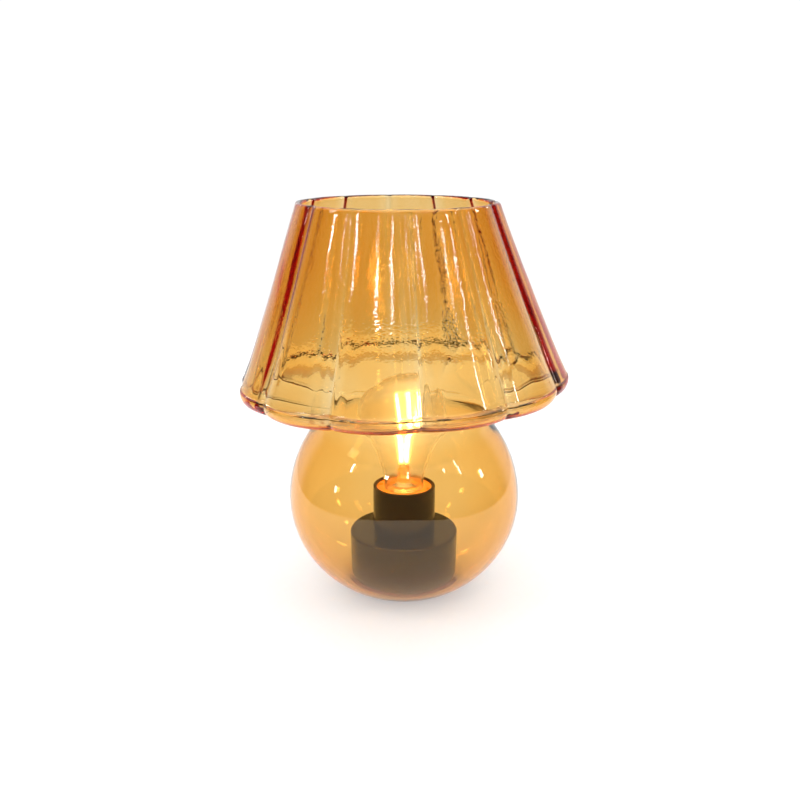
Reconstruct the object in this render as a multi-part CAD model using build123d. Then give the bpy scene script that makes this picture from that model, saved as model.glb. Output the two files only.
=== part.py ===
from build123d import *
import os
from math import cos, radians, sin, sqrt

os.makedirs("parts", exist_ok=True)

# A mushroom-shaped glass table lantern. A pleated shade and a round bowl are blown as one glass
# vessel. A battery lamp unit stands loose on the bowl's floor and lifts out through the shade.
# Frame: millimetres, +Z up, the origin at the centre of the flat base, -Y to the front.

# ---- Driving dimensions: glass vessel ----
RIM_Z = 238.5  # top of the shade, and the lantern's height
RIM_R = 59.3
FOLD_R = 98.8  # widest part of the shade, at its lower fold
FOLD_Z = 135.2
FOLD_RADIUS = 6.5
PLEATS = 12
GROOVE_AZIMUTH = 5.8  # first groove, in degrees from the front towards +X
RIM_GROOVE = 1.4  # depth of the grooves at the rim
FOLD_GROOVE = 3.6  # and at the fold, below which they fade out towards the neck
SHADE_WALL = 3.2
SHOULDER_Z = 133.0  # the shade's side wall ends here and its underside, the shoulder, starts
NECK_Z = 113.0
BOWL_R = 71.3
BOWL_Z = 59.0  # height of the bowl's widest part
BOWL_DROP = 66.0  # vertical half-axis of the bowl's lower half, which the flat base cuts off
BOWL_WALL = 2.0
BASE_R = 29.0
FLOOR_Z = 5.0

# ---- Driving dimensions: lamp unit ----
CASE_R = 34.0
CASE_WALL = 2.5
CASE_Z = (6.0, 35.0)
CUP_R = 19.0
CUP_WALL = 2.0
CUP_TOP_Z = 64.6
CUP_FLOOR = 5.0
BULB_R = 27.5
BULB_TOP_Z = 137.0
BULB_WALL = 0.9
BULB_NECK_R = 12.0
CAP_R = 13.0
CAP_FLANGE_R = 16.7
CAP_TOP_Z = 63.4
CELL_R = 5.25  # AAA cell
CELL_LENGTH = 44.5
CELL_COUNT = 3
NUB_LENGTH = 0.8
NUB_R = 1.9
FIT = 0.3  # gap between pieces that move past each other

# ---- Driving dimensions: what moves ----
COVER_TURN = 25.0  # degrees from locked to unlocked
KNOB_TRAVEL = 2.5  # each way from the middle position


def polar(azimuth, radius):
    """The point at `radius`, at `azimuth` degrees from the front towards +X."""
    return (radius * sin(radians(azimuth)), -radius * cos(radians(azimuth)))


def tube(outer, inner, z0, z1):
    """A straight tube along Z."""
    return rod(outer, z0, z1) - rod(inner, z0, z1)


def rod(radius, z0, z1, x=0.0, y=0.0):
    """A cylinder along Z, from z0 to z1."""
    return Pos(x, y, (z0 + z1) / 2) * Cylinder(radius, z1 - z0)


def block(x0, x1, y0, y1, z0, z1):
    """A box between two corners."""
    return Pos((x0 + x1) / 2, (y0 + y1) / 2, (z0 + z1) / 2) * Box(x1 - x0, y1 - y0, z1 - z0)


def sector(outer, inner, azimuth, half_width, z0, z1):
    """A block of a ring, `half_width` degrees to each side of `azimuth`."""
    outline = Polyline(
        (0, 0),
        polar(azimuth - half_width, 2 * outer),
        polar(azimuth, 2 * outer),
        polar(azimuth + half_width, 2 * outer),
        (0, 0),
    )
    wedge = Pos(0, 0, z0) * extrude(make_face(outline), z1 - z0)
    return tube(outer, inner, z0, z1) & wedge


def spun(outline):
    """A solid of revolution from an outline in the XZ plane."""
    return revolve(make_face(Plane.XZ * outline), Axis.Z)


def screw(x, y, head_z, head_r, head_height, shank_r, shank_length):
    """A screw driven upwards: its head's underside is at head_z, with a cross slot below."""
    head = rod(head_r, head_z - head_height, head_z, x, y)
    slot = Pos(x, y, head_z - head_height + 0.25) * (Box(head_r, 0.5, 0.5) + Box(0.5, head_r, 0.5))
    return head - slot + rod(shank_r, head_z, head_z + shank_length, x, y)


# ---- Glass vessel ----
def pleated_ring(radius, depth, z):
    """A ring of convex lobes, with a groove of the given depth between each two."""
    step = 360 / PLEATS
    lobes = Curve()
    for k in range(PLEATS):
        start = GROOVE_AZIMUTH + k * step
        lobes += ThreePointArc(
            polar(start, radius - depth),
            polar(start + step / 2, radius),
            polar(start + step, radius - depth),
        )
    return Pos(0, 0, z) * make_face(lobes)


def sphere_r(radius, z):
    """The bowl's radius at height z in its round upper half."""
    return sqrt(radius**2 - (z - BOWL_Z) ** 2)


def lower_r(radius, drop, z):
    """The bowl's radius at height z in its flattened lower half."""
    return radius * sqrt(1 - ((BOWL_Z - z) / drop) ** 2)


def shade_body(inset, top_z):
    """The shade's pleated form, taken in by `inset` from the outer surface on every side."""
    fold = FOLD_RADIUS - inset
    fold_r = FOLD_R - FOLD_RADIUS
    slant = radians(20)
    neck_r = sphere_r(BOWL_R - (BOWL_WALL if inset else 0), NECK_Z)
    rings = [
        (RIM_R - inset, RIM_GROOVE, top_z),
        (70.9 - inset, 2.0, 204.9),
        (80.5 - inset, 2.6, 178.2),
        (90.9 - inset, 3.2, 150.9),
    ]
    for turn in (slant, 0.0, -slant * 1.75, -slant * 3.5):
        rings.append((fold_r + fold * cos(turn), FOLD_GROOVE, FOLD_Z + fold * sin(turn)))
    rings.append((70.0, 1.8, 121.0 + inset))
    rings.append((neck_r + 1.5, 0.0, NECK_Z + inset + 0.4))
    rings.append((neck_r, 0.0, NECK_Z))
    return loft([pleated_ring(*ring) for ring in rings], ruled=True)


def bowl_outline(radius, drop, foot_r, foot_z):
    """Half of the bowl's section, from the neck down to its floor."""
    knee = BOWL_Z + radius * 0.62
    belly = BOWL_Z - drop * 0.62
    edge_z = foot_z + 1.6
    mouth = (sphere_r(radius, NECK_Z), NECK_Z)
    middle = (radius, BOWL_Z)
    edge = (lower_r(radius, drop, edge_z), edge_z)
    upper = ThreePointArc(mouth, (sphere_r(radius, knee), knee), middle)
    lower = ThreePointArc(middle, (lower_r(radius, drop, belly), belly), edge)
    foot = Polyline(edge, (foot_r, foot_z), (0, foot_z), (0, NECK_Z), mouth)
    return upper + lower + foot


def shade_shell():
    """The whole shade, from the neck to the rim, open at both."""
    return shade_body(0.0, RIM_Z) - shade_body(SHADE_WALL, RIM_Z)


def slab(z0, z1):
    """Everything between two heights."""
    return block(-2 * FOLD_R, 2 * FOLD_R, -2 * FOLD_R, 2 * FOLD_R, z0, z1)


def glass_bowl():
    """Round bowl with a flat base and a thick floor, open at the neck."""
    inner_r = BOWL_R - BOWL_WALL
    inner_drop = BOWL_DROP - BOWL_WALL
    inner_foot = lower_r(inner_r, inner_drop, FLOOR_Z) - 0.6
    outside = spun(bowl_outline(BOWL_R, BOWL_DROP, BASE_R, 0.0))
    return outside - spun(bowl_outline(inner_r, inner_drop, inner_foot, FLOOR_Z))


# ---- Battery case and its cover ----
LUG_AZIMUTHS = (30, 150, 270)
LUG_HALF = 8.0  # half the width of a bayonet lug, in degrees
LUG_Z = (7.5, 8.7)
CASE_INNER_R = CASE_R - CASE_WALL
CASE_CEILING = CASE_Z[1] - 2.0
KNOB_Z = 29.0
KNOB_SIZE = (3.5, 2.0)  # width along X and height
BOARD_Z = (24.4, 26.0)
BOARD_R = 28.0
BOARD_POSTS = ((24.0, 0.0), (-24.0, 0.0))
TRAY_POSTS = ((14.0, 22.5), (-14.0, -22.5))
TRAY_TOP = 21.4
CUP_SCREWS = ((11.0, 0.0), (-11.0, 0.0))
WIRE_X = 1.6
WIRE_R = 0.7


def battery_case():
    """Round case, open below, with posts under its ceiling and bayonet grooves near its lower edge."""
    case = rod(CASE_R, *CASE_Z) - rod(CASE_INNER_R, CASE_Z[0] - 1, CASE_CEILING)
    case = fillet(case.edges().group_by(Axis.Z)[-1], 1.6)
    groove_r = (CASE_R - 0.9, CASE_INNER_R - 1)
    groove_z = (LUG_Z[0] - FIT, LUG_Z[1] + FIT)
    entry_half = LUG_HALF + 1.5
    for azimuth in LUG_AZIMUTHS:
        turned = azimuth + COVER_TURN
        case -= sector(*groove_r, azimuth + COVER_TURN / 2, entry_half + COVER_TURN / 2, *groove_z)
        case -= sector(*groove_r, turned, entry_half, CASE_Z[0] - 1, groove_z[1])
    for x, y in BOARD_POSTS:
        case += rod(3.0, BOARD_Z[1], CASE_CEILING, x, y)
        case -= rod(1.0, BOARD_Z[1] - 1, CASE_CEILING - 1, x, y)
    for x, y in TRAY_POSTS:
        case += rod(2.8, TRAY_TOP, CASE_CEILING, x, y)
        case -= rod(1.0, TRAY_TOP - 1, TRAY_TOP + 7, x, y)
    for x, y in CUP_SCREWS:
        case -= rod(1.3, CASE_CEILING - 1, CASE_Z[1] + 1, x, y)
    case -= rod(3.2, CASE_CEILING - 1, CASE_Z[1] + 1)
    slot_half = KNOB_TRAVEL + KNOB_SIZE[0] / 2 + FIT
    slot_height = KNOB_SIZE[1] / 2 + FIT
    slot_z = (KNOB_Z - slot_height, KNOB_Z + slot_height)
    return case - block(-slot_half, slot_half, CASE_INNER_R - 3, CASE_R + 1, *slot_z)


def foot_ring():
    """Flat rubber ring under the case's wall, which the unit stands on."""
    return tube(CASE_R - 0.4, CASE_INNER_R + 0.4, FLOOR_Z, CASE_Z[0])


def base_cover():
    """Round battery cover: a disc with three bayonet lugs, a coin slot and two finger hollows."""
    cover = rod(CASE_INNER_R - FIT, 6.3, 8.7)
    for azimuth in LUG_AZIMUTHS:
        cover += sector(CASE_R - 1.3, CASE_INNER_R - 2, azimuth, LUG_HALF, *LUG_Z)
    cover -= Pos(0, 0, 6.8) * Box(22, 2.4, 1.0)
    for side in (-1, 1):
        cover -= Pos(side * 21, 0, 6.3) * extrude(Ellipse(4, 9), 1.2)
    return cover


# ---- Battery tray and cells ----
CELL_PITCH = 10.9
CELL_Z = 9.5 + CELL_R
TRAY_HALF = (25.0, 17.4)
TRAY_WALL = 1.0
SPRING_LENGTH = 2.6
CELL_X0 = -TRAY_HALF[0] + TRAY_WALL + 0.5 + SPRING_LENGTH  # the end of a cell that a spring presses


def cell_rows():
    """Each cell's place along Y, and which way it points, in turn."""
    for k in range(CELL_COUNT):
        yield (k - (CELL_COUNT - 1) / 2) * CELL_PITCH, 1 if k % 2 == 0 else -1


def rod_x(radius, x0, x1, y, z):
    """A cylinder along X."""
    return Pos((x0 + x1) / 2, y, z) * Rot(0, 90, 0) * Cylinder(radius, x1 - x0)


def battery_tray():
    """Tray open below, with a rib between each two cells and two screw tabs."""
    half_x, half_y = TRAY_HALF
    tray = block(-half_x, half_x, -half_y, half_y, 9.3, TRAY_TOP)
    well_x = half_x - TRAY_WALL
    tray -= block(-well_x, well_x, -half_y + 0.8, half_y - 0.8, 8, TRAY_TOP - 1.0)
    for k in range(1, CELL_COUNT):
        y = (k - CELL_COUNT / 2) * CELL_PITCH
        tray += block(-half_x + 4, half_x - 4, y - 0.5, y + 0.5, TRAY_TOP - 2.6, TRAY_TOP - 0.9)
    inside = block(-half_x + 0.5, half_x - 0.5, -half_y + 0.5, half_y - 0.5, 8, TRAY_TOP + 1)
    for x, y in TRAY_POSTS:
        tab = block(x - 3.5, x + 3.5, min(y, 0), max(y, 0), TRAY_TOP - 2, TRAY_TOP)
        tab += rod(3.5, TRAY_TOP - 2, TRAY_TOP, x, y)
        tray += tab - inside
        tray -= rod(1.3, TRAY_TOP - 3, TRAY_TOP + 1, x, y)
    return tray


def cell(y, way):
    """One AAA cell along X, its raised contact towards `way`."""
    middle = CELL_X0 + CELL_LENGTH / 2
    flat_end = middle - way * CELL_LENGTH / 2
    shoulder = middle + way * (CELL_LENGTH / 2 - NUB_LENGTH)
    nub_end = middle + way * CELL_LENGTH / 2
    can = rod_x(CELL_R, *sorted((flat_end, shoulder)), y, CELL_Z)
    nub = rod_x(NUB_R, *sorted((shoulder, nub_end)), y, CELL_Z)
    return fillet(can.edges(), 0.4) + nub


def contact_springs():
    """A coil spring behind each cell's end, on a thin plate in the tray's end wall."""
    springs = []
    wall_x = -TRAY_HALF[0] + TRAY_WALL
    for y, _ in cell_rows():
        plate = block(wall_x, wall_x + 0.4, y - 4, y + 4, CELL_Z - 4, CELL_Z + 4)
        coil_start = wall_x + 0.4
        coil = plate
        for turn in range(3):
            x = coil_start + 0.35 + turn * 0.85
            coil += Pos(x, y, CELL_Z) * Rot(0, 90, 0) * Torus(2.8 - 0.35 * turn, 0.45)
        springs.append(coil)
    return Compound(children=springs)


def contact_plates():
    """A flat sprung plate at each cell's other end."""
    wall_x = TRAY_HALF[0] - TRAY_WALL
    plates = []
    for y, _ in cell_rows():
        plates.append(block(CELL_X0 + CELL_LENGTH, wall_x, y - 4, y + 4, CELL_Z - 4, CELL_Z + 4))
    return Compound(children=plates)


# ---- Circuit board, switch and wires ----
def circuit_board():
    """Round board under the case's ceiling, notched for the tray's posts and drilled for the wires."""
    board = rod(BOARD_R, *BOARD_Z)
    for x, y in TRAY_POSTS:
        board -= rod(3.4, BOARD_Z[0] - 1, BOARD_Z[1] + 1, x, y)
    for x, y in BOARD_POSTS:
        board -= rod(1.3, BOARD_Z[0] - 1, BOARD_Z[1] + 1, x, y)
    return board


def timer_chip():
    """Eight-leg timer chip."""
    chip = block(-12.5, -7.5, -3, 1, BOARD_Z[1] + 0.2, BOARD_Z[1] + 1.7)
    for k in range(4):
        x = -12.0 + 1.27 * k
        chip += block(x - 0.2, x + 0.2, -4, 2, BOARD_Z[1], BOARD_Z[1] + 0.4)
    return chip


def board_resistors():
    """A row of small resistors."""
    resistors = []
    for k in range(4):
        x = 6.0 + 3.0 * k
        resistors.append(block(x, x + 1.2, -12, -10, BOARD_Z[1], BOARD_Z[1] + 0.6))
    return Compound(children=resistors)


def board_capacitor():
    """Upright capacitor with a rounded can."""
    can = rod(2.5, BOARD_Z[1], BOARD_Z[1] + 5.4, 12, 6)
    return fillet(can.edges().group_by(Axis.Z)[-1], 0.5)


def timer_crystal():
    """Small crystal can lying on the board."""
    return Pos(-10, 9, BOARD_Z[1] + 1.1) * Rot(0, 90, 0) * Cylinder(1.1, 6.0)


SWITCH_HALF_X = 5.5
SWITCH_Y = (24.2, 28.0)
KNOB_Y = (28.2, 35.6)


def switch_body():
    """Slide switch's metal case at the board's rear edge, with a slot for its knob."""
    body = block(-SWITCH_HALF_X, SWITCH_HALF_X, *SWITCH_Y, BOARD_Z[1], KNOB_Z + 2.4)
    half = KNOB_TRAVEL + 1.2 + FIT
    return body - block(-half, half, SWITCH_Y[1] - 2.0, SWITCH_Y[1] + 1, KNOB_Z - 1.0, KNOB_Z + 1.0)


def switch_knob():
    """Sliding knob: a narrow stem in the switch and a ridged tip that stands out of the case."""
    half = KNOB_SIZE[0] / 2
    knob = block(-half, half, *KNOB_Y, KNOB_Z - KNOB_SIZE[1] / 2, KNOB_Z + KNOB_SIZE[1] / 2)
    knob += block(-1.2, 1.2, SWITCH_Y[1] - 1.6, KNOB_Y[0], KNOB_Z - 0.7, KNOB_Z + 0.7)
    for k in (-1, 0, 1):
        knob -= Pos(k * 1.0, KNOB_Y[1], KNOB_Z) * Box(0.4, 0.6, 3)
    return knob


def lead_wire(side):
    """A wire from the board up into the bulb's cap."""
    return rod(WIRE_R, BOARD_Z[1], NECK_FROM, side * WIRE_X)


# ---- Cup, socket and bulb ----
CUP_FLOOR_TOP = CASE_Z[1] + CUP_FLOOR
SOCKET_TOP = 50.0
CAP_FOOT_Z = CUP_FLOOR_TOP + 0.6
NECK_FROM = CAP_TOP_Z - 2.0
NECK_TO = CAP_TOP_Z + 4.0
BULB_Z = BULB_TOP_Z - BULB_R
STEM_R = 3.4
PINCH_Z = 78.0
FILAMENTS = 4
FILAMENT_R = 1.1
FILAMENT_Z = (80.0, 123.0)
FILAMENT_FOOT_R = 2.3
FILAMENT_HEAD_R = 6.9


def lamp_cup():
    """Plain round cup on the case, with a thick floor for its two screws."""
    cup = rod(CUP_R, CASE_Z[1], CUP_TOP_Z) - rod(CUP_R - CUP_WALL, CUP_FLOOR_TOP, CUP_TOP_Z + 1)
    cup -= rod(3.2, CASE_Z[1] - 1, CUP_FLOOR_TOP + 1)
    for x, y in CUP_SCREWS:
        cup -= rod(1.0, CASE_Z[1] - 1, CUP_FLOOR_TOP - 0.8, x, y)
    lip = cup.edges().filter_by(GeomType.CIRCLE).group_by(Axis.Z)[-1]
    return fillet(lip, 0.6)


def bulb_socket():
    """Ring that holds the bulb's cap upright in the cup."""
    ring = tube(CUP_R - CUP_WALL - FIT, CAP_R + 0.05, CUP_FLOOR_TOP, CUP_FLOOR_TOP + 2)
    return ring + tube(CAP_R + 1.6, CAP_R + 0.05, CUP_FLOOR_TOP + 1, SOCKET_TOP)


def bulb_cap():
    """Moulded cap with a wide top that closes the cup, and a recess that the glass is set in."""
    cap = rod(CAP_R, CAP_FOOT_Z, CAP_TOP_Z) + rod(CAP_FLANGE_R, CAP_TOP_Z - 2.5, CAP_TOP_Z)
    cap -= rod(BULB_NECK_R + 0.05, NECK_FROM, CAP_TOP_Z + 1)
    for side in (-1, 1):
        cap -= rod(WIRE_R + 0.1, CAP_FOOT_Z - 1, NECK_FROM + 1, side * WIRE_X)
    return cap


def bulb_outline(inset):
    """Half of the bulb's section, from the foot of its neck to its crown."""
    neck_r = BULB_NECK_R - inset
    ball = BULB_R - inset
    low = radians(-35)
    foot_z = NECK_FROM - (1 if inset else 0)  # the inner form runs past the neck's open foot
    join = (ball * cos(low), BULB_Z + ball * sin(low))
    side = Line((neck_r, foot_z), (neck_r, NECK_TO))
    top = (0, BULB_Z + ball)
    upper = (ball * cos(radians(25)), BULB_Z + ball * sin(radians(25)))
    leave = (-sin(low), cos(low))
    shoulder = Spline((neck_r, NECK_TO), join, tangents=[(0, 1), leave], tangent_scalars=[0.8, 0.8])
    crown = ThreePointArc(join, upper, top)
    close = Polyline(top, (0, foot_z), (neck_r, foot_z))
    return side + shoulder + crown + close


def bulb_envelope():
    """Thin clear bulb, open at the foot of its neck."""
    return spun(bulb_outline(0)) - spun(bulb_outline(BULB_WALL))


def bulb_stem():
    """Glass stem: a flared foot in the neck, a tube and a flattened pinch that holds the wires."""
    foot_r = BULB_NECK_R - BULB_WALL - 0.4
    half = Polyline(
        (0, NECK_FROM + 0.2),
        (foot_r, NECK_FROM + 0.2),
        (foot_r, NECK_FROM + 1.4),
        (STEM_R + 1.2, NECK_FROM + 4),
        (STEM_R, NECK_FROM + 7),
        (STEM_R, PINCH_Z - 8),
        (STEM_R - 1.2, PINCH_Z - 3),
        (STEM_R - 1.2, PINCH_Z),
        (0, PINCH_Z),
        (0, NECK_FROM + 0.2),
    )
    return spun(half)


def filament_end(k, radius, z):
    """Where filament k starts or ends."""
    azimuth = 45 + k * 360 / FILAMENTS
    return Vector(*polar(azimuth, radius), z)


def strut(start, end, radius):
    """A straight round stick between two points."""
    along = end - start
    return Plane(start + along / 2, z_dir=along) * Cylinder(radius, along.length)


def led_filaments():
    """Straight LED sticks in a narrow cone that opens upwards from the stem's top."""
    sticks = []
    for k in range(FILAMENTS):
        foot = filament_end(k, FILAMENT_FOOT_R, FILAMENT_Z[0])
        head = filament_end(k, FILAMENT_HEAD_R, FILAMENT_Z[1])
        sticks.append(strut(foot, head, FILAMENT_R))
    return Compound(children=sticks)


def filament_wires():
    """Wires from the stem's pinch to each filament's foot, and a star that joins their heads."""
    wire_r = 0.35
    star_z = FILAMENT_Z[1] + 0.9
    wires = rod(wire_r, PINCH_Z, star_z + wire_r)
    for k in range(FILAMENTS):
        foot = filament_end(k, FILAMENT_FOOT_R, FILAMENT_Z[0] - 0.2)
        head = filament_end(k, FILAMENT_HEAD_R, FILAMENT_Z[1])
        tip = filament_end(k, FILAMENT_HEAD_R, star_z)
        wires += strut(Vector(0, 0, PINCH_Z + 0.1), foot, wire_r)
        wires += strut(Vector(0, 0, star_z), tip, wire_r)
        wires += strut(head, tip, wire_r)
    return wires


# ---- Screws ----
def screws(places, head_z, head_r, head_height, shank_r, shank_length):
    """The same screw at each place."""
    made = [screw(x, y, head_z, head_r, head_height, shank_r, shank_length) for x, y in places]
    return Compound(children=made)


# The glass is one blown piece. Its three zones are solids that meet face to face.
shell = shade_shell()
parts = {
    "glass_shade": shell & slab(SHOULDER_Z, RIM_Z + 1),
    "glass_shoulder": shell & slab(NECK_Z, SHOULDER_Z),
    "glass_bowl": glass_bowl(),
    "battery_case": battery_case(),
    "foot_ring": foot_ring(),
    "base_cover": base_cover(),
    "battery_tray": battery_tray(),
    "contact_springs": contact_springs(),
    "contact_plates": contact_plates(),
    "circuit_board": circuit_board(),
    "timer_chip": timer_chip(),
    "timer_crystal": timer_crystal(),
    "board_resistors": board_resistors(),
    "board_capacitor": board_capacitor(),
    "switch_body": switch_body(),
    "switch_knob": switch_knob(),
    "positive_wire": lead_wire(1),
    "negative_wire": lead_wire(-1),
    "lamp_cup": lamp_cup(),
    "bulb_socket": bulb_socket(),
    "bulb_cap": bulb_cap(),
    "bulb_envelope": bulb_envelope(),
    "bulb_stem": bulb_stem(),
    "filament_wires": filament_wires(),
    "led_filaments": led_filaments(),
    "board_screws": screws(BOARD_POSTS, BOARD_Z[0], 2.0, 1.2, 0.98, 5.0),
    "tray_screws": screws(TRAY_POSTS, TRAY_TOP - 2, 2.2, 1.4, 0.98, 8.0),
    "cup_screws": screws(CUP_SCREWS, CASE_CEILING, 2.0, 1.2, 0.98, 5.5),
}
for number, (y, way) in enumerate(cell_rows(), start=1):
    parts[f"aaa_cell_{number}"] = cell(y, way)

for name, shape in parts.items():
    export_step(shape, f"parts/{name}.step")
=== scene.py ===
from functools import partial
from math import asin, cos, degrees, exp, pi, radians, sin, sqrt

import bpy
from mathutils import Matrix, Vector, noise


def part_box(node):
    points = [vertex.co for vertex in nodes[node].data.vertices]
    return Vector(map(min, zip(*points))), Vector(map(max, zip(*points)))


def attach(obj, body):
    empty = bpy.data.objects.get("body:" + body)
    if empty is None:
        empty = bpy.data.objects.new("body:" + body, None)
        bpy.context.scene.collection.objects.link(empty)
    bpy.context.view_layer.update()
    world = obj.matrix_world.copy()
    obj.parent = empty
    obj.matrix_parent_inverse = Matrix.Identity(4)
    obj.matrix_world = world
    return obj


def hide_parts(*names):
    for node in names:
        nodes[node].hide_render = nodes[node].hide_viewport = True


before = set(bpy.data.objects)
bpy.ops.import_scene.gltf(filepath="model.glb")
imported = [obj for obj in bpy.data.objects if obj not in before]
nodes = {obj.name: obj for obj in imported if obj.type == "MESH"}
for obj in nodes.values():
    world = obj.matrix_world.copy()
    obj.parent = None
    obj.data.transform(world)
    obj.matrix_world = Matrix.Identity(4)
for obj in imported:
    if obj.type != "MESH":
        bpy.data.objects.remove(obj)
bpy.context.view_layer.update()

# An amber glass table lantern shaped like a mushroom, with a lit battery lamp unit inside.
# Metres, +Z up, the origin at the centre of the glass's base, -Y to the front. The sizes of the glass and the
# bulb are in millimetres and are turned into metres where a mesh is made. Materials work in metres.
MM = 0.001


def size_of(node):
    """A node's height range and half width, in millimetres."""
    low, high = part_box(node)
    return low[2] / MM, high[2] / MM, (high[0] - low[0]) / 2 / MM


NECK_Z, _, _ = size_of("glass_shoulder")
_, RIM_Z, _ = size_of("glass_shade")
BASE_Z, _, BOWL_R = size_of("glass_bowl")

# ---- Shared helpers ----


def new_object(name, verts, faces, body, replaces):
    """A smooth mesh piece that rides on a body and stands in for CAD nodes, which it hides."""
    if max(max(face) for face in faces) >= len(verts):
        raise ValueError(f"{name} has a face that names a vertex past its last one")
    mesh = bpy.data.meshes.new(name)
    mesh.from_pydata([tuple(v) for v in verts], [], faces)
    if mesh.validate():
        raise ValueError(f"{name} is not a sound mesh")
    mesh.update()
    mesh.polygons.foreach_set("use_smooth", [True] * len(mesh.polygons))
    piece = bpy.data.objects.new(name, mesh)
    bpy.context.scene.collection.objects.link(piece)
    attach(piece, body)
    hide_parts(*replaces)
    return piece


def line(start, end, step):
    """Points from start towards end, about a step apart, without the end."""
    length = sqrt((end[0] - start[0]) ** 2 + (end[1] - start[1]) ** 2)
    count = max(1, round(length / step))
    return [
        (start[0] + (end[0] - start[0]) * k / count, start[1] + (end[1] - start[1]) * k / count)
        for k in range(count)
    ]


def arc(centre, radii, start, end, step):
    """Points on an ellipse's arc between two angles in degrees, without the end."""
    reach = max(radii) * abs(radians(end - start))
    count = max(2, round(reach / step))
    turns = [radians(start + (end - start) * k / count) for k in range(count)]
    return [(centre[0] + radii[0] * cos(t), centre[1] + radii[1] * sin(t)) for t in turns]


def bend(start, corner, end, count):
    """Points on a curve from start to end that turns at a corner, without the end."""
    points = []
    for k in range(count):
        t = k / count
        a, b, c = (1 - t) ** 2, 2 * t * (1 - t), t * t
        points.append(tuple(a * start[i] + b * corner[i] + c * end[i] for i in (0, 1)))
    return points


def revolve(profile, columns):
    """Vertices and faces of a closed form turned from a profile whose two ends lie on the axis."""
    verts = [Vector((0, 0, profile[0][1]))]
    for r, z in profile[1:-1]:
        for k in range(columns):
            a = 2 * pi * k / columns
            verts.append(Vector((r * cos(a), r * sin(a), z)))
    verts.append(Vector((0, 0, profile[-1][1])))
    return [v * MM for v in verts], ring_faces(len(profile) - 2, columns)


def ring_faces(rings, columns):
    """Faces of a stack of rings closed by a point at each end, facing out when the first point is lowest."""
    faces = []
    last = 1 + rings * columns
    for k in range(columns):
        n = (k + 1) % columns
        faces.append((0, 1 + n, 1 + k))
        top = 1 + (rings - 1) * columns
        faces.append((last, top + k, top + n))
        for ring in range(rings - 1):
            a = 1 + ring * columns
            faces.append((a + k, a + n, a + columns + n, a + columns + k))
    return faces


# ---- Material helpers ----


def add_node(tree, kind, inputs=(), **settings):
    """A node with its settings and its inputs, each a value or another node's output."""
    made = tree.nodes.new(kind)
    for name, value in settings.items():
        setattr(made, name, value)
    for name, value in dict(inputs).items():
        if isinstance(value, bpy.types.NodeSocket):
            tree.links.new(value, made.inputs[name])
        else:
            made.inputs[name].default_value = value
    return made


class Shader:
    """Builds a Principled material with a few node helpers."""

    def __init__(self, name):
        self.material = bpy.data.materials.new(name)
        self.material.use_nodes = True
        self.tree = self.material.node_tree
        self.surface = next(n for n in self.tree.nodes if n.type == "BSDF_PRINCIPLED")
        self.output = next(n for n in self.tree.nodes if n.type == "OUTPUT_MATERIAL")
        self.place = self.tree.nodes.new("ShaderNodeTexCoord").outputs["Object"]

    def set(self, **values):
        """Sets plain values on the Principled shader's own sockets."""
        for name, value in values.items():
            self.surface.inputs[name.replace("_", " ")].default_value = value
        return self

    def node(self, kind, inputs=(), **settings):
        """A node in this material."""
        return add_node(self.tree, kind, inputs, **settings)

    def spread(self, scale):
        """Object coordinates stretched by a scale along each axis."""
        return self.node("ShaderNodeMapping", {"Vector": self.place, "Scale": scale}).outputs["Vector"]

    def noise(self, scale, detail=2.0, rough=0.5, stretch=(1, 1, 1)):
        """A noise pattern between 0 and 1, with its scale per metre."""
        inputs = {"Vector": self.spread(stretch), "Scale": scale, "Detail": detail, "Roughness": rough}
        return self.node("ShaderNodeTexNoise", inputs).outputs["Fac"]

    def span(self, value, low, high, start=0.0, end=1.0):
        """A value between start and end moved to the range from low to high."""
        inputs = {"Value": value, "From Min": start, "From Max": end, "To Min": low, "To Max": high}
        return self.node("ShaderNodeMapRange", inputs).outputs["Result"]

    def blend(self, share, first, second):
        """A mix of two colours."""
        # The Mix node has one set of inputs per data type: 0 is the share, 6 and 7 the two colours.
        return self.node("ShaderNodeMix", {0: share, 6: first, 7: second}, data_type="RGBA").outputs[2]

    def product(self, first, second):
        """Two values multiplied."""
        return self.node("ShaderNodeMath", {0: first, 1: second}, operation="MULTIPLY").outputs[0]

    def bump(self, height, strength, distance, normal=None):
        """A bump from a height pattern."""
        inputs = {"Height": height, "Strength": strength, "Distance": distance}
        if normal is not None:
            inputs["Normal"] = normal
        return self.node("ShaderNodeBump", inputs).outputs["Normal"]

    def feed(self, socket, source):
        """Links a source to one of the Principled shader's inputs."""
        self.tree.links.new(source, self.surface.inputs[socket])
        return self


# ---- Camera, lights and stage ----
CAMERA_PLACE = (-0.0025, -0.5567, 0.2794)
CAMERA_PITCH = 16.02  # degrees below level
LENS, SENSOR_WIDTH = 42.66, 36

# Bright panels round the lantern, which show as the highlights in the glass. Each has its direction from
# the lantern, its width and height, and its radiance.
PANELS = {
    "left_strip": ((-0.764, -0.408, 0.488), (0.032, 0.15), 60),
    "front_patch": ((-0.30, -0.80, 0.52), (0.07, 0.06), 55),
    "front_strip": ((0.05, -0.82, 0.56), (0.025, 0.13), 55),
    "right_strip": ((0.782, -0.385, 0.482), (0.022, 0.26), 40),
    "right_high_bar": ((0.622, -0.571, 0.527), (0.03, 0.07), 38),
    "left_window": ((-0.73, -0.25, 0.63), (0.20, 0.22), 9),
    "left_low_patch": ((-0.93, -0.34, 0.12), (0.06, 0.10), 22),
    "right_low_patch": ((0.974, -0.054, 0.222), (0.08, 0.12), 26),
    "right_top_patch": ((0.843, 0.074, 0.532), (0.07, 0.07), 26),
    "back_left_strip": ((-0.60, 0.70, 0.45), (0.03, 0.16), 36),
    "back_right_strip": ((0.70, 0.55, 0.48), (0.03, 0.16), 36),
}
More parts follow.
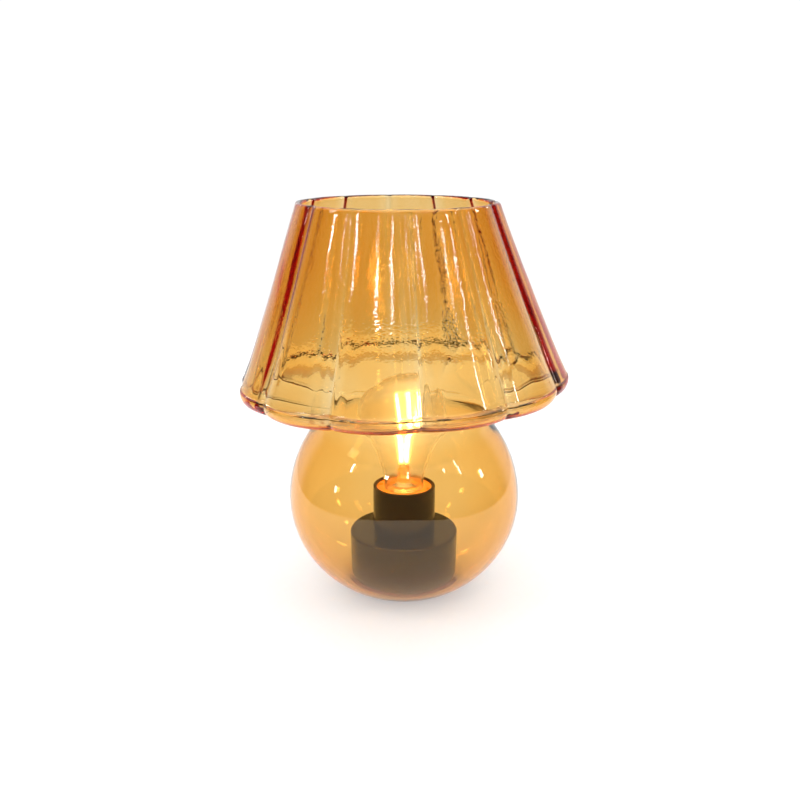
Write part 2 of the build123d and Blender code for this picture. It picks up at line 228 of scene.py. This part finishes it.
PANEL_TARGET = Vector((0, 0, 0.13))
PANEL_DISTANCE = 1.15

TABLE_HALF = (0.42, 0.85)
TABLE_DROP = 0.0004  # a hair below the glass, so that the two faces don't lie in one plane
TABLE_STEPS = 96

# The room that the glass mirrors. A direction from the lantern meets the back wall by its Y and the
# ceiling by its Z, and each brightens evenly between two values of it.
ROOM_TONE = 0.07
WALL_TONE, WALL_FROM, WALL_TO = 0.88, 0.38, 0.66
CEILING_TONE, CEILING_FROM, CEILING_TO = 1.45, 0.56, 0.76
BACKDROP_TONE = 1.05


def add_camera():
    data = bpy.data.cameras.new("camera")
    data.lens = LENS
    data.sensor_width = SENSOR_WIDTH
    data.clip_start = 0.01
    camera = bpy.data.objects.new("camera", data)
    camera.location = CAMERA_PLACE
    camera.rotation_euler = (radians(90 - CAMERA_PITCH), 0, 0)
    bpy.context.scene.collection.objects.link(camera)
    bpy.context.scene.camera = camera


def add_panel(name, direction, size, radiance):
    """A rectangular softbox that faces the lantern, as bright as its radiance whatever its size."""
    data = bpy.data.lights.new(name, "AREA")
    data.shape = "RECTANGLE"
    data.size, data.size_y = size
    data.energy = radiance * pi * size[0] * size[1]
    light = bpy.data.objects.new(name, data)
    light.location = PANEL_TARGET + PANEL_DISTANCE * Vector(direction)
    light.rotation_euler = (PANEL_TARGET - light.location).to_track_quat("-Z", "Y").to_euler()
    bpy.context.scene.collection.objects.link(light)


def add_floor():
    """A pale oval table top: the glass mirrors it from below, and a dark room at its sides."""
    turns = [2 * pi * k / TABLE_STEPS for k in range(TABLE_STEPS)]
    verts = [(TABLE_HALF[0] * cos(t), TABLE_HALF[1] * sin(t), -TABLE_DROP) for t in turns]
    mesh = bpy.data.meshes.new("floor")
    mesh.from_pydata(verts, [], [tuple(range(TABLE_STEPS))])
    floor = bpy.data.objects.new("floor", mesh)
    bpy.context.scene.collection.objects.link(floor)
    paint = Shader("floor_paint")
    tone = paint.blend(paint.noise(3.0), (0.62, 0.62, 0.62, 1), (0.66, 0.66, 0.66, 1))
    paint.feed("Base Color", tone).set(Roughness=0.6, Emission_Color=(1, 1, 1, 1), Emission_Strength=0.46)
    mesh.materials.append(paint.material)


def add_world():
    """Plain white to the camera, and to the glass a dim room with a bright back wall and ceiling."""
    world = bpy.data.worlds.new("studio")
    bpy.context.scene.world = world
    world.use_nodes = True
    tree = world.node_tree
    tree.nodes.clear()
    node = partial(add_node, tree)

    def span(value, start, end, low, high):
        inputs = {"Value": value, "From Min": start, "From Max": end, "To Min": low, "To Max": high}
        return node("ShaderNodeMapRange", inputs, interpolation_type="SMOOTHSTEP").outputs["Result"]

    direction = node("ShaderNodeSeparateXYZ", {"Vector": node("ShaderNodeTexCoord").outputs["Generated"]})
    wall = span(direction.outputs["Y"], WALL_FROM, WALL_TO, ROOM_TONE, WALL_TONE)
    ceiling = span(direction.outputs["Z"], CEILING_FROM, CEILING_TO, 0.0, CEILING_TONE)
    tone = node("ShaderNodeMath", {0: wall, 1: ceiling}, operation="MAXIMUM")
    room = node("ShaderNodeBackground", {"Color": tone.outputs[0], "Strength": 1.0})
    backdrop = node("ShaderNodeBackground", {"Color": (1, 1, 1, 1), "Strength": BACKDROP_TONE})
    mix = node("ShaderNodeMixShader", {"Fac": node("ShaderNodeLightPath").outputs["Is Camera Ray"]})
    tree.links.new(room.outputs[0], mix.inputs[1])
    tree.links.new(backdrop.outputs[0], mix.inputs[2])
    tree.links.new(mix.outputs[0], node("ShaderNodeOutputWorld").inputs["Surface"])


# ---- Glass vessel ----
PLEATS = 12
GROOVE_AZIMUTH = radians(5.8)
COLUMNS_PER_PLEAT = 28
LEAN = radians(1.9)  # the blown shade stands a little crooked on its bowl, under a level rim

# The outer face: the shade's side as heights and radii from the rim down, the fold below it, and the bowl.
SIDE = ((RIM_Z, 59.3), (204.9, 71.4), (178.2, 81.3), (150.9, 91.8), (135.9, 98.4))
SIDE_STEP = 2.1
RIM_ROUND = 0.9
RIM_STEPS = 8
FOLD = (92.6, 134.0)
FOLD_RADII = (6.3, 6.4)
FOLD_FROM, FOLD_TO, FOLD_STEP = -78, 25, 0.7  # degrees, degrees and millimetres
NECK_ROUND = 3.0
BOWL_Z = 59.0
BOWL_DROP = 66.0  # the depth of the ellipse that the bowl's lower half follows
BOWL_STEP = 2.6
BASE_R, BASE_CORNER_R, BASE_EDGE_Z, BASE_STEP = 27.0, 33.0, 3.0, 3.0

# The wall's thickness, and where it changes.
RIM_WALL, FOLD_WALL, SHOULDER_WALL, BOWL_WALL = 3.5, 2.4, 1.3, 2.3
SIDE_WALL_Z = (140, 205)
SHOULDER_WALL_R = (84, 95)
NECK_WALL_DROP = 12
FLOOR_Z, FLOOR_R, FLOOR_ROUND = 5.0, 34.6, 1.6  # the floor inside the bowl

# The pleats, as depths in from a lobe's crest.
RIM_HOLLOW, FOLD_HOLLOW = 1.7, 3.2  # the hollow between two lobes
NOTCH_DEPTH, NOTCH_HALF = 1.0, 2.0  # the narrow crease at its bottom
NOTCH_SOFTNESS, NOTCH_SHIFT = 0.06, 0.245  # round off the crease's bottom
INNER_SHARE = 0.5  # how much of the hollow shows on the inner face
RIDGE_HEIGHT, RIDGE_HALF = 0.6, 2.4  # the rounded ridge behind each crease, inside the shade
SIDE_RIDGE_HEIGHT, SIDE_RIDGE_AT, SIDE_RIDGE_HALF = 0.35, 8.0, 2.2  # a flatter one beside it
PLEAT_R = (50, 92)  # where the pleats grow on the shoulder

# Waves left by blowing: their height, their scale per millimetre, and how much slower they change along Z.
SLOW_WAVE = (0.22, 0.030, 0.55)
STREAK_WAVE = (0.20, 0.11, 0.22)
OUTER_SEED, INNER_SEED = Vector((0, 0, 0)), Vector((31.7, 5.2, 11.9))
FOLD_CALM, CALM_REACH = 0.3, (5, 24)  # how far the waves die down near the fold
BASE_STILL_R, BASE_STILL_HEIGHT = (36, 50), 12  # the base has none


def side_radius(z):
    """The side wall's radius at a height, on a smooth curve through the chosen levels."""
    k = 0
    while k < len(SIDE) - 2 and z < SIDE[k + 1][0]:
        k += 1
    (z0, r0), (z1, r1) = SIDE[k], SIDE[k + 1]

    def slope(i):
        lo, hi = max(i - 1, 0), min(i + 1, len(SIDE) - 1)
        return (SIDE[hi][1] - SIDE[lo][1]) / (SIDE[hi][0] - SIDE[lo][0])

    span, t = z1 - z0, (z - z0) / (z1 - z0)
    t2, t3 = t * t, t * t * t
    return (
        (2 * t3 - 3 * t2 + 1) * r0
        + (t3 - 2 * t2 + t) * span * slope(k)
        + (-2 * t3 + 3 * t2) * r1
        + (t3 - t2) * span * slope(k + 1)
    )


def smooth(value, start, end):
    """0 before start and 1 past end, with an even change between."""
    t = max(0.0, min(1.0, (value - start) / (end - start)))
    return t * t * (3 - 2 * t)


def bowl_angle(height, radius):
    """The angle, in degrees, at which an arc of the bowl reaches a height above or below its middle."""
    return degrees(asin(height / radius))


def outer_profile():
    """The glass's outer face, from the middle of its base up to the rim."""
    edge = bowl_angle(BASE_EDGE_Z - BOWL_Z, BOWL_DROP)
    neck = bowl_angle(NECK_Z - NECK_ROUND - BOWL_Z, BOWL_R)
    edge_point = (BOWL_R * cos(radians(edge)), BOWL_Z + BOWL_DROP * sin(radians(edge)))
    neck_point = (BOWL_R * cos(radians(neck)), BOWL_Z + BOWL_R * sin(radians(neck)))
    neck_r = sqrt(BOWL_R**2 - (NECK_Z - BOWL_Z) ** 2)
    neck_corner, shoulder = (neck_r + 0.6, NECK_Z + 0.2), (neck_r + 3.5, NECK_Z + 1.2)
    turn = radians(FOLD_FROM)
    fold_foot = (FOLD[0] + FOLD_RADII[0] * cos(turn), FOLD[1] + FOLD_RADII[1] * sin(turn))
    points = line((0, BASE_Z), (BASE_R, BASE_Z), BASE_STEP)
    points += bend((BASE_R, BASE_Z), (BASE_CORNER_R, BASE_Z), edge_point, 8)
    points += arc((0, BOWL_Z), (BOWL_R, BOWL_DROP), edge, 0, BOWL_STEP)
    points += arc((0, BOWL_Z), (BOWL_R, BOWL_R), 0, neck, BOWL_STEP)
    points += bend(neck_point, neck_corner, shoulder, 8)
    points += line(shoulder, fold_foot, BOWL_STEP)
    points += arc(FOLD, FOLD_RADII, FOLD_FROM, FOLD_TO, FOLD_STEP)
    top = RIM_Z - RIM_ROUND
    heights = [z for _, z in line((0, SIDE[-1][0]), (0, top), SIDE_STEP)] + [top]
    return points + [(side_radius(z), z) for z in heights]


def wall_at(r, z):
    """The wall's thickness at a point of the outer face."""
    if z > FOLD[1]:
        return FOLD_WALL + (RIM_WALL - FOLD_WALL) * smooth(z, *SIDE_WALL_Z)
    if z > NECK_Z:
        return SHOULDER_WALL + (FOLD_WALL - SHOULDER_WALL) * smooth(r, *SHOULDER_WALL_R)
    return BOWL_WALL + (SHOULDER_WALL - BOWL_WALL) * smooth(z, NECK_Z - NECK_WALL_DROP, NECK_Z)


def inner_profile(outer):
    """The glass's inner face, square in from the outer one, from the rim down to the bowl's floor."""
    points = []
    for k in range(len(outer) - 1, 0, -1):
        ahead, behind, (r, z) = outer[min(k + 1, len(outer) - 1)], outer[k - 1], outer[k]
        along = Vector((ahead[0] - behind[0], ahead[1] - behind[1])).normalized()
        inset = wall_at(r, z)
        points.append((r - along.y * inset, z + along.x * inset))
        if points[-1][1] < FLOOR_Z + FLOOR_ROUND:
            break
    points += bend(points[-1], (points[-1][0] - 2.6, FLOOR_Z), (FLOOR_R, FLOOR_Z), 5)[1:]
    return points + line((FLOOR_R, FLOOR_Z), (0, FLOOR_Z), BASE_STEP) + [(0, FLOOR_Z)]


def skin_profile():
    """The whole section, each point with its share of the inner face: 0 outside, 1 inside."""
    outer = outer_profile()
    inner = inner_profile(outer)
    (r0, z0), (r1, z1) = outer[-1], inner[0]
    middle, start = Vector(((r0 + r1) / 2, (z0 + z1) / 2)), Vector(((r0 - r1) / 2, (z0 - z1) / 2))
    rim = []
    for k in range(1, RIM_STEPS):
        t = pi * k / RIM_STEPS
        over = start * cos(t) + Vector((-start.y, start.x)) * sin(t)
        rim.append(((middle.x + over.x, middle.y + over.y), (1 - cos(t)) / 2))
    return [(point, 0.0) for point in outer] + rim + [(point, 1.0) for point in inner]


def pleat_share(r, z):
    """How far the pleats have grown at a point of the profile: 0 at the neck and 1 on the side wall."""
    if z > FOLD[1]:
        return 1.0
    return smooth(r, *PLEAT_R) if z > NECK_Z + 1 else 0.0


def pleat_depth(r, z, offset, share):
    """How far in from a lobe's crest the face lies. The offset is 0 on the crest and 1 or -1 in a crease."""
    height = max(0.0, (z - FOLD[1]) / (RIM_Z - FOLD[1]))
    hollow = (FOLD_HOLLOW + (RIM_HOLLOW - FOLD_HOLLOW) * height) * offset**2
    from_crease = (1 - abs(offset)) * r * pi / PLEATS
    rounded = sqrt(from_crease**2 + NOTCH_SOFTNESS) - NOTCH_SHIFT
    outer = hollow + NOTCH_DEPTH * max(0.0, 1 - rounded / NOTCH_HALF)
    inner = INNER_SHARE * hollow + RIDGE_HEIGHT * exp(-((from_crease / RIDGE_HALF) ** 2))
    inner += SIDE_RIDGE_HEIGHT * exp(-(((from_crease - SIDE_RIDGE_AT) / SIDE_RIDGE_HALF) ** 2))
    return (outer + (inner - outer) * share) * pleat_share(r, z)


def wave(place, seed):
    """Waves left in one face of the blown glass: slow ones all over, and streaks down the shade."""

    def swell(height, scale, stretch):
        return height * noise.noise(Vector((place.x, place.y, place.z * stretch)) * scale + seed)

    calm = FOLD_CALM + (1 - FOLD_CALM) * smooth(abs(place.z - FOLD[1]), *CALM_REACH)
    return calm * (swell(*SLOW_WAVE) + smooth(place.z, NECK_Z, NECK_Z + 15) * swell(*STREAK_WAVE))


def ripple(place, share):
    """Waves at a point between the outer and the inner face."""
    outer = wave(place, OUTER_SEED) if share < 1 else 0
    inner = wave(place, INNER_SEED) if share > 0 else 0
    return outer * (1 - share) + inner * share


def lean(place):
    """Turns a point of the shade about the neck, and levels it again towards the rim."""
    turn = LEAN * smooth(place.z, NECK_Z, NECK_Z + 14)
    level = 1 - smooth(place.z, FOLD[1] + 12, RIM_Z - 4)
    rise = place.z - NECK_Z
    return Vector((place.x - rise * sin(turn), place.y, place.z + place.x * sin(turn) * level))


def pleat_columns():
    """Angles round the glass, closer together near the grooves, each with its offset within its lobe."""
    step = 2 * pi / PLEATS
    for pleat in range(PLEATS):
        for k in range(COLUMNS_PER_PLEAT):
            t = 2 * k / COLUMNS_PER_PLEAT - 1
            offset = t * (1.5 - 0.5 * t * t)
            yield GROOVE_AZIMUTH - pi / 2 + step * (pleat + 0.5 + offset / 2), offset


def build_glass():
    """Shade and bowl as one closed skin with real wall thickness."""
    rings = skin_profile()[1:-1]
    columns = list(pleat_columns())
    verts = [Vector((0, 0, BASE_Z))]
    for (r, z), share in rings:
        strength = smooth(r, *BASE_STILL_R) if z < FLOOR_Z + BASE_STILL_HEIGHT else 1.0
        for angle, offset in columns:
            along = Vector((cos(angle), sin(angle), 0))
            place = along * (r - pleat_depth(r, z, offset, share)) + Vector((0, 0, z))
            verts.append(lean(place + along * ripple(place, share) * strength))
    verts.append(Vector((0, 0, FLOOR_Z)))
    piece = new_object(
        "blown_glass",
        [v * MM for v in verts],
        ring_faces(len(rings), len(columns)),
        "glass",
        ("glass_shade", "glass_shoulder", "glass_bowl"),
    )
    piece.data.materials.append(amber_glass())


def amber_glass():
    """Clear amber glass: the colour is in its depth, and the shade's faces are finely rippled."""
    glass = Shader("amber_glass")
    height = glass.node("ShaderNodeSeparateXYZ", {"Vector": glass.place}).outputs["Z"]
    shade = glass.span(height, 0.0, 1.0, 0.146, 0.180)
    haze = glass.noise(38, 4.0, 0.6, (1, 1, 0.4))
    glass.feed("Base Color", glass.blend(haze, (0.965, 0.955, 0.93, 1), (0.93, 0.915, 0.88, 1)))
    glass.feed("Roughness", glass.span(glass.noise(220, 3.0), 0.0, 0.012, 0.40, 0.80))
    peel = glass.product(glass.noise(560, 1.0, 0.5, (1, 1, 1.3)), shade)
    waves = glass.product(glass.noise(120, 2.0, 0.5, (1, 1, 0.8)), shade)
    glass.feed("Normal", glass.bump(peel, 1.0, 0.00006, glass.bump(waves, 1.0, 0.00005)))
    glass.set(Transmission_Weight=1.0, IOR=1.46, Specular_IOR_Level=0.5)
    depth = glass.node("ShaderNodeVolumeAbsorption", {"Color": (0.957, 0.685, 0.0, 1), "Density": 425.0})
    glass.tree.links.new(depth.outputs[0], glass.output.inputs["Volume"])
    return glass.material


# ---- Bulb ----
BULB_FOOT_Z, BULB_TOP_Z, BULB_R = size_of("bulb_envelope")
BULB_NECK_R = 12.0
BULB_WALL = 0.9
BULB_COLUMNS = 96
BALL_Z = BULB_TOP_Z - BULB_R
BALL_FROM = -35  # degrees, where the neck's curve meets the ball


def bulb_side(inset):
    """One face of the bulb's wall from its foot to its crown."""
    ball = BULB_R - inset
    neck = BULB_NECK_R - inset
    join_point = (ball * cos(radians(BALL_FROM)), BALL_Z + ball * sin(radians(BALL_FROM)))
    neck_top = (neck, BULB_FOOT_Z + 6)
    points = line((neck, BULB_FOOT_Z), neck_top, 1.5)
    points += bend(neck_top, (neck + 0.8, BULB_FOOT_Z + 17), join_point, 22)
    # The step shrinks with the ball, so that both faces get the same number of points.
    points += arc((0, BALL_Z), (ball, ball), BALL_FROM, 90, 1.3 * ball / BULB_R)
    return points + [(0, BALL_Z + ball)]


def build_bulb():
    """The clear envelope, a thin wall open at its foot."""
    outer, inner = bulb_side(0), bulb_side(BULB_WALL)
    if len(outer) != len(inner):
        raise ValueError("the two faces of the bulb's wall need the same number of points")
    verts, faces = [], []
    for side in (outer, inner):
        for r, z in side[:-1]:
            for k in range(BULB_COLUMNS):
                a = 2 * pi * k / BULB_COLUMNS
                verts.append(Vector((r * cos(a), r * sin(a), z)))
        verts.append(Vector((0, 0, side[-1][1])))
    count = (len(outer) - 1) * BULB_COLUMNS + 1
    for base, flip in ((0, False), (count, True)):
        for ring in range(len(outer) - 2):
            for k in range(BULB_COLUMNS):
                n = (k + 1) % BULB_COLUMNS
                a = base + ring * BULB_COLUMNS
                quad = (a + k, a + n, a + BULB_COLUMNS + n, a + BULB_COLUMNS + k)
                faces.append(quad[::-1] if flip else quad)
        crown = base + (len(outer) - 2) * BULB_COLUMNS
        for k in range(BULB_COLUMNS):
            tri = (crown + k, crown + (k + 1) % BULB_COLUMNS, base + count - 1)
            faces.append(tri[::-1] if flip else tri)
    for k in range(BULB_COLUMNS):
        n = (k + 1) % BULB_COLUMNS
        faces.append((k, count + k, count + n, n))
    verts = [v * MM for v in verts]
    bulb = new_object("bulb_glass", verts, faces, "lamp_unit", ("bulb_envelope",))
    bulb.data.materials.append(clear_glass("bulb_clear_glass", (0.13, 0.21)))
    bulb.visible_shadow = False


def clear_glass(name, rough):
    """Thin clear glass with faint waves and a trace of dust."""
    glass = Shader(name)
    glass.feed("Base Color", glass.blend(glass.noise(60), (1, 1, 1, 1), (0.97, 0.965, 0.95, 1)))
    glass.feed("Roughness", glass.span(glass.noise(300), *rough))
    glass.feed("Normal", glass.bump(glass.noise(70, 2.0), 0.12, 0.0003))
    return glass.set(Transmission_Weight=1.0, IOR=1.47).material


def build_stem():
    """The glass stem: flared foot, tube, and a pinch pressed flat where the wires pass."""
    foot_z, top_z, foot_r = size_of("bulb_stem")
    tube_foot, tube_top, pinch = (3.6, foot_z + 8), (3.4, top_z - 8), (2.3, top_z - 1.2)
    profile = [(0, foot_z), (foot_r, foot_z), (foot_r, foot_z + 1.0)]
    profile += bend((foot_r, foot_z + 1.2), (4.0, foot_z + 2.0), tube_foot, 10)
    profile += line(tube_foot, tube_top, 1.5)
    profile += bend(tube_top, (3.2, top_z - 3), pinch, 6)
    profile += arc((1.1, top_z - 1.2), (1.2, 1.2), 0, 90, 0.4)
    profile.append((0, top_z))
    verts, faces = revolve(profile, 40)
    pinch_from, pinch_length = tube_top[1] * MM, 6 * MM
    for v in verts:
        share = max(0.0, min(1.0, (v.z - pinch_from) / pinch_length))
        v.x *= 1 + 0.35 * share
        v.y *= 1 - 0.50 * share
    stem = new_object("stem_glass", verts, faces, "lamp_unit", ("bulb_stem",))
    stem.data.materials.append(clear_glass("stem_clear_glass", (0.0, 0.03)))
    stem.visible_shadow = False


def led_phosphor():
    """Yellow phosphor over a row of tiny lit chips."""
    coat = Shader("led_phosphor")
    chips = coat.node("ShaderNodeTexWave", {"Vector": coat.place, "Scale": 240.0}, bands_direction="Z")
    share = chips.outputs["Fac"]
    coat.feed("Emission Color", coat.blend(share, (1.0, 0.60, 0.20, 1), (1.0, 0.78, 0.40, 1)))
    coat.feed("Base Color", coat.blend(share, (0.95, 0.65, 0.15, 1), (1.0, 0.8, 0.3, 1)))
    return coat.set(Emission_Strength=150.0, Roughness=0.5).material


# ---- Moulded and metal parts ----


def moulded(name, dark, light, rough, grain=900.0):
    """Moulded plastic: a fine grain, cloudy tone and rougher patches."""
    plastic = Shader(name)
    plastic.feed("Base Color", plastic.blend(plastic.noise(45, 4.0, 0.6), dark, light))
    plastic.feed("Roughness", plastic.span(plastic.noise(120, 3.0), rough - 0.08, rough + 0.12))
    plastic.feed("Normal", plastic.bump(plastic.noise(grain, 2.0), 0.35, 0.00004))
    return plastic.material


def plated(name, dark, light):
    """Plated metal with fine brush marks."""
    metal = Shader(name)
    marks = metal.noise(260, 3.0, 0.6, (1, 1, 14))
    metal.feed("Base Color", metal.blend(marks, dark, light))
    metal.feed("Roughness", metal.span(marks, 0.18, 0.42))
    metal.feed("Normal", metal.bump(marks, 0.15, 0.00003))
    return metal.set(Metallic=1.0).material


def dress_cad():
    """Gives every CAD piece that stays visible its finish."""
    black = moulded("case_plastic", (0.011, 0.0065, 0.003, 1), (0.020, 0.012, 0.005, 1), 0.18)
    brown = moulded("cup_plastic", (0.011, 0.0035, 0.0015, 1), (0.019, 0.006, 0.002, 1), 0.18)
    inner = moulded("inner_plastic", (0.020, 0.020, 0.021, 1), (0.040, 0.040, 0.042, 1), 0.55)
    # The bulb cap's orange is painted light: the glow of the lit bulb on a black plastic cap, painted into
    # its colour.
    cap_glow_paint = moulded("cap_plastic", (0.72, 0.27, 0.035, 1), (0.86, 0.36, 0.06, 1), 0.28)
    rubber = moulded("foot_rubber", (0.022, 0.022, 0.022, 1), (0.045, 0.044, 0.043, 1), 0.80, 500.0)
    knob = moulded("knob_plastic", (0.03, 0.03, 0.03, 1), (0.06, 0.06, 0.06, 1), 0.35)
    board = moulded("board_laminate", (0.010, 0.09, 0.035, 1), (0.018, 0.15, 0.06, 1), 0.35, 1500.0)
    steel = plated("contact_steel", (0.52, 0.51, 0.49, 1), (0.74, 0.73, 0.71, 1))
    can = moulded("cell_wrap", (0.06, 0.07, 0.09, 1), (0.09, 0.10, 0.12, 1), 0.30)
    red = moulded("red_insulation", (0.45, 0.02, 0.015, 1), (0.58, 0.04, 0.03, 1), 0.45)
    finishes = {
        black: ("battery_case", "base_cover"),
        brown: ("lamp_cup",),
        inner: ("battery_tray", "bulb_socket", "timer_chip", "board_resistors", "negative_wire"),
        cap_glow_paint: ("bulb_cap",),
        rubber: ("foot_ring",),
        knob: ("switch_knob",),
        board: ("circuit_board",),
        steel: (
            "contact_springs", "contact_plates", "board_screws", "tray_screws", "cup_screws",
            "filament_wires", "switch_body", "timer_crystal", "board_capacitor",
        ),
        can: ("aaa_cell_1", "aaa_cell_2", "aaa_cell_3"),
        red: ("positive_wire",),
        led_phosphor(): ("led_filaments",),
    }
    for material, names in finishes.items():
        for name in names:
            for slot in nodes[name].material_slots:
                slot.material = material


scene = bpy.context.scene
scene.view_settings.view_transform = "Standard"
# Light caught between the faces of a pleat is turned back many times before it gets out.
scene.cycles.max_bounces = 32
scene.cycles.transmission_bounces = 32
scene.cycles.glossy_bounces = 24
add_camera()
for name, panel in PANELS.items():
    add_panel(name, *panel)
add_floor()
add_world()
build_glass()
build_bulb()
build_stem()
dress_cad()
